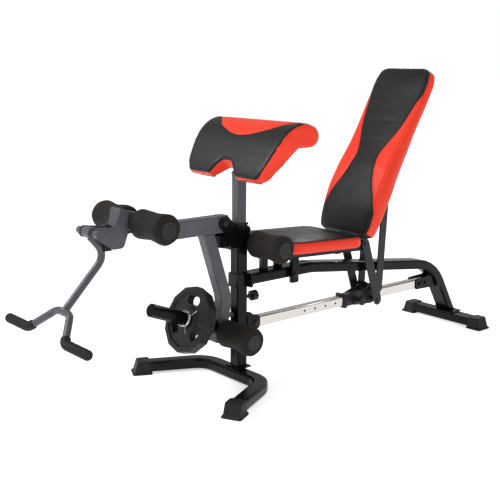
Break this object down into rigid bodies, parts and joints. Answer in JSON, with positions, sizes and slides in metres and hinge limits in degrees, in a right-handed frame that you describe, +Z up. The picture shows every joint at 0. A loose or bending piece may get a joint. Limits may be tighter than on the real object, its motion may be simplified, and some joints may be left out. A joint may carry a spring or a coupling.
{
  "type": "adjustable weight bench",
  "caption": "Adjustable weight training bench with reclining backrest, leg lever, foam rollers, curl bar, preacher pad, weight plate and a chrome adjustment rail on a black tube frame",
  "frame": {"origin": "on the floor, under the middle of the bench's box", "axes": "+Z up; +Y towards the backrest end; the leg lever is at -Y; +X is the bench's left as its user sits facing -Y"},
  "size_m": [0.6352, 2.0202, 1.1121],
  "materials": {
    "frame_paint": "glossy black enamel",
    "lever_paint": "satin dark grey enamel",
    "chrome": "polished",
    "bolt": "blackened",
    "plastic": "moulded black",
    "rubber": "matt black",
    "foam": "closed-cell foam, matt",
    "grip_foam": "ribbed rubber",
    "vinyl": "black and red synthetic leather",
    "board": "dark pressed board",
    "spring_steel": "bright",
    "plate_rubber": "rubber-coated iron"
  },
  "bodies": {
    "bench": {"beam": "frame_paint", "beam_strap": "frame_paint", "front_base": "frame_paint", "front_foot_left": "rubber", "front_foot_right": "rubber", "lever_bolt": "bolt", "lever_bracket": "frame_paint", "lever_bumper": "rubber", "post": "frame_paint", "post_guide": "plastic", "rail": "chrome", "rail_front_bolt": "bolt", "rail_front_bracket": "frame_paint", "rail_rear_bracket": "frame_paint", "rear_base": "frame_paint", "rear_foot_left": "rubber", "rear_foot_right": "rubber", "roller_support": "frame_paint"},
    "thigh_roller": {"thigh_roller_bar": "plastic", "thigh_roller_foam_left": "foam", "thigh_roller_foam_right": "foam"},
    "lever": {"lever_arm": "lever_paint", "lever_leg": "lever_paint", "curl_bracket": "lever_paint", "curl_rest_pad": "rubber", "plate_sleeve": "frame_paint"},
    "shin_roller": {"shin_roller_bar": "plastic", "shin_roller_foam_left": "foam", "shin_roller_foam_right": "foam"},
    "ankle_roller": {"ankle_roller_bar": "plastic", "ankle_roller_foam_left": "foam", "ankle_roller_foam_right": "foam"},
    "curl": {"curl_bar": "lever_paint", "curl_grip_left": "grip_foam", "curl_grip_right": "grip_foam"},
    "plate": {"weight_plate": "plate_rubber"},
    "collar": {"spring_collar": "spring_steel"},
    "mast": {"mast": "lever_paint", "preacher_board": "board", "preacher_pad": "vinyl"},
    "mast_pin": {"mast_pin": "plastic"},
    "mast_clamp": {"mast_clamp": "plastic"},
    "carriage": {"carriage": "lever_paint", "carriage_guide_front": "plastic", "carriage_guide_rear": "plastic"},
    "carriage_pin": {"carriage_pin": "plastic"},
    "links": {"seat_link_left": "lever_paint", "seat_link_right": "lever_paint"},
    "struts": {"strut_left": "lever_paint", "strut_right": "lever_paint"},
    "seat": {"seat_frame": "frame_paint", "seat_pad": "vinyl", "seat_board": "board", "seat_bumper": "rubber", "seat_bolt": "bolt", "backrest_bolt": "bolt"},
    "backrest": {"backrest_frame": "frame_paint", "backrest_pad": "vinyl", "backrest_board": "board"}
  },
  "joints": [
    {"name": "backrest_recline", "type": "hinge", "parent": "seat", "child": "backrest", "pos_m": [0, 0.3671, 0.43], "axis": [-1, 0, 0], "range_deg": [0, 55.01]},
    {"name": "seat_tilt", "type": "hinge", "parent": "bench", "child": "seat", "pos_m": [0, -0.0049, 0.362], "axis": [-1, 0, 0], "range_deg": [0, 4.84]},
    {"name": "carriage_slide", "type": "slide", "parent": "bench", "child": "carriage", "axis": [0, -1, 0], "range_m": [0, 0.2221]},
    {"name": "seat_link_swing", "type": "hinge", "parent": "seat", "child": "links", "pos_m": [0, 0.3671, 0.43], "axis": [-1, 0, 0], "range_deg": [0, 48.77]},
    {"name": "strut_swing", "type": "hinge", "parent": "carriage", "child": "struts", "pos_m": [0, 0.4651, 0.235], "axis": [-1, 0, 0], "range_deg": [0, 63.24]},
    {"name": "lever_swing", "type": "hinge", "parent": "bench", "child": "lever", "pos_m": [0, -0.3159, 0.585], "axis": [-1, 0, 0], "range_deg": [0, 55]},
    {"name": "curl_swing", "type": "hinge", "parent": "lever", "child": "curl", "pos_m": [0, -0.8349, 0.612], "axis": [-1, 0, 0], "range_deg": [0, 90]},
    {"name": "weight_plate_slide", "type": "slide", "parent": "lever", "child": "plate", "axis": [0, -0.9298, 0.3681], "range_m": [0, 0.19]},
    {"name": "collar_slide", "type": "slide", "parent": "plate", "child": "collar", "axis": [0, -0.9298, 0.3681], "range_m": [0, 0.17]},
    {"name": "thigh_roller_turn", "type": "hinge", "parent": "bench", "child": "thigh_roller", "pos_m": [0, -0.1859, 0.5], "axis": [1, 0, 0], "continuous": true},
    {"name": "shin_roller_turn", "type": "hinge", "parent": "lever", "child": "shin_roller", "pos_m": [0, -0.6693, 0.6265], "axis": [1, 0, 0], "continuous": true},
    {"name": "ankle_roller_turn", "type": "hinge", "parent": "lever", "child": "ankle_roller", "pos_m": [0, -0.3224, 0.1976], "axis": [1, 0, 0], "continuous": true},
    {"name": "mast_slide", "type": "slide", "parent": "bench", "child": "mast", "axis": [0, 0, 1], "range_m": [-0.08, 0.12]},
    {"name": "mast_pin_pull", "type": "slide", "parent": "bench", "child": "mast_pin", "axis": [0, 1, 0], "range_m": [0, 0.008], "stiffness_N_per_m": 800, "springref_m": -0.004},
    {"name": "mast_clamp_turn", "type": "hinge", "parent": "bench", "child": "mast_clamp", "pos_m": [0, -0.2329, 0.3], "axis": [0, 1, 0], "continuous": true},
    {"name": "carriage_pin_pull", "type": "slide", "parent": "carriage", "child": "carriage_pin", "axis": [1, 0, 0], "range_m": [0, 0.01], "stiffness_N_per_m": 800, "springref_m": -0.004}
  ],
  "couplings": [
    {"joint": "seat_tilt", "follows": "backrest_recline", "ratio": 0.087616},
    {"joint": "carriage_slide", "follows": "backrest_recline", "m_per_rad": 0.23122},
    {"joint": "seat_link_swing", "follows": "backrest_recline", "ratio": 0.88613},
    {"joint": "strut_swing", "follows": "backrest_recline", "ratio": 1.1493}
  ]
}
